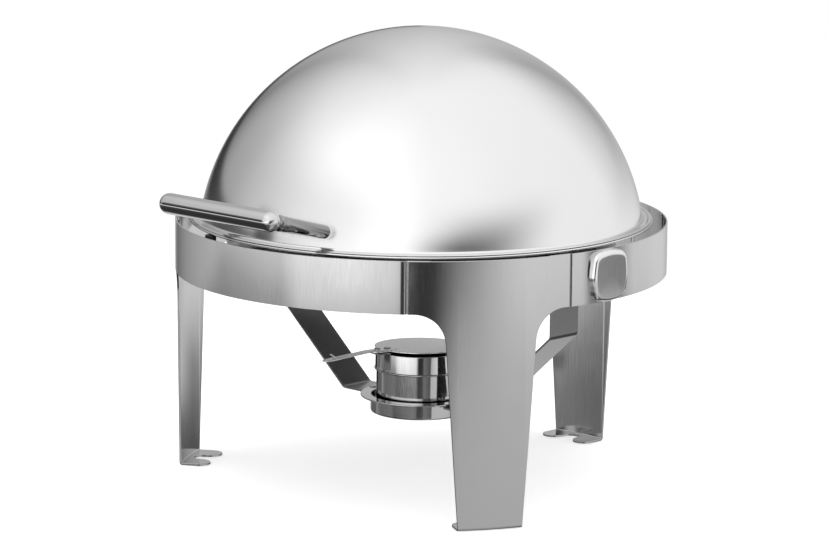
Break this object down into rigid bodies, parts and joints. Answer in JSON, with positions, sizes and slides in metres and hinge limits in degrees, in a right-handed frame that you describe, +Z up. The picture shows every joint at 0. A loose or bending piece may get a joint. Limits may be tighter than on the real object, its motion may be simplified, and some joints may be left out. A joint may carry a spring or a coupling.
{
  "type": "chafing dish",
  "caption": "Round chafing dish with a roll-back dome on side pivots, a three-legged ring stand, nested pans and a fuel burner on a strap.",
  "frame": {"origin": "on the table under the centre of the ring and the dome", "axes": "+Z up, -Y towards the handle side, +X to the right when facing the handle side"},
  "size_m": [0.4816, 0.5108, 0.4337],
  "materials": {
    "dome_steel": "mirror-polished stainless steel with a soft sheen",
    "frame_steel": "polished stainless steel sheet",
    "handle_chrome": "bright polished",
    "cap_chrome": "bright polished casting",
    "black_rubber": "matt black",
    "pan_steel": "satin stainless steel",
    "burner_steel": "bright drawn stainless steel",
    "strap_steel": "satin stainless steel flat bar",
    "inner_steel": "satin stainless steel",
    "hardware_steel": "plain stainless fasteners"
  },
  "bodies": {
    "frame": {"band_front": "frame_steel", "band_left": "frame_steel", "band_right": "frame_steel", "bridge_left": "inner_steel", "bridge_right": "inner_steel", "bridge_rivet_left_inner": "hardware_steel", "bridge_rivet_left_outer": "hardware_steel", "bridge_rivet_right_inner": "hardware_steel", "bridge_rivet_right_outer": "hardware_steel", "dish_rivet_left_front": "hardware_steel", "dish_rivet_left_rear": "hardware_steel", "dish_rivet_right_front": "hardware_steel", "dish_rivet_right_rear": "hardware_steel", "holder_dish": "burner_steel", "leg_front_left": "frame_steel", "leg_front_right": "frame_steel", "leg_rear": "frame_steel", "lid_bumper_left": "black_rubber", "lid_bumper_right": "black_rubber", "pan_carrier_ring": "inner_steel", "pivot_bush_inner_left": "hardware_steel", "pivot_bush_inner_right": "hardware_steel", "pivot_bush_outer_left": "hardware_steel", "pivot_bush_outer_right": "hardware_steel", "pivot_cap_left": "cap_chrome", "pivot_cap_right": "cap_chrome", "pivot_nut_left": "hardware_steel", "pivot_nut_right": "hardware_steel", "pivot_stud_left": "hardware_steel", "pivot_stud_right": "hardware_steel", "strap_left": "strap_steel", "strap_right": "strap_steel", "strap_rivet_left_front": "hardware_steel", "strap_rivet_left_rear": "hardware_steel", "strap_rivet_right_front": "hardware_steel", "strap_rivet_right_rear": "hardware_steel"},
    "dome": {"dome_ear_left": "inner_steel", "dome_ear_right": "inner_steel", "dome_rim": "dome_steel", "dome_shell": "dome_steel", "handle_arm_left": "handle_chrome", "handle_arm_right": "handle_chrome", "handle_grip": "handle_chrome", "handle_saddle_left": "hardware_steel", "handle_saddle_right": "hardware_steel", "handle_screw_left": "hardware_steel", "handle_screw_right": "hardware_steel"},
    "water_pan": {"water_pan": "pan_steel"},
    "food_pan": {"food_pan": "pan_steel"},
    "burner": {"burner_collar": "burner_steel", "burner_cup": "burner_steel", "collar_clip": "burner_steel", "damper_pin": "hardware_steel"},
    "damper": {"damper_handle": "burner_steel", "damper_lid": "burner_steel", "damper_rivet": "hardware_steel"}
  },
  "joints": [
    {"name": "dome_roll", "type": "hinge", "parent": "frame", "child": "dome", "pos_m": [0, 0, 0.227], "axis": [-1, 0, 0], "range_deg": [0, 150]},
    {"name": "water_pan_lift", "type": "slide", "parent": "frame", "child": "water_pan", "axis": [0, 0, 1], "range_m": [0, 0.012]},
    {"name": "food_pan_lift", "type": "slide", "parent": "water_pan", "child": "food_pan", "axis": [0, 0, 1], "range_m": [0, 0.022]},
    {"name": "burner_lift", "type": "slide", "parent": "frame", "child": "burner", "axis": [0, 0, 1], "range_m": [0, 0.05]},
    {"name": "damper_swing", "type": "hinge", "parent": "burner", "child": "damper", "pos_m": [-0.008, -0.051, 0.1265], "axis": [0, 0, 1], "range_deg": [0, 100]}
  ]
}
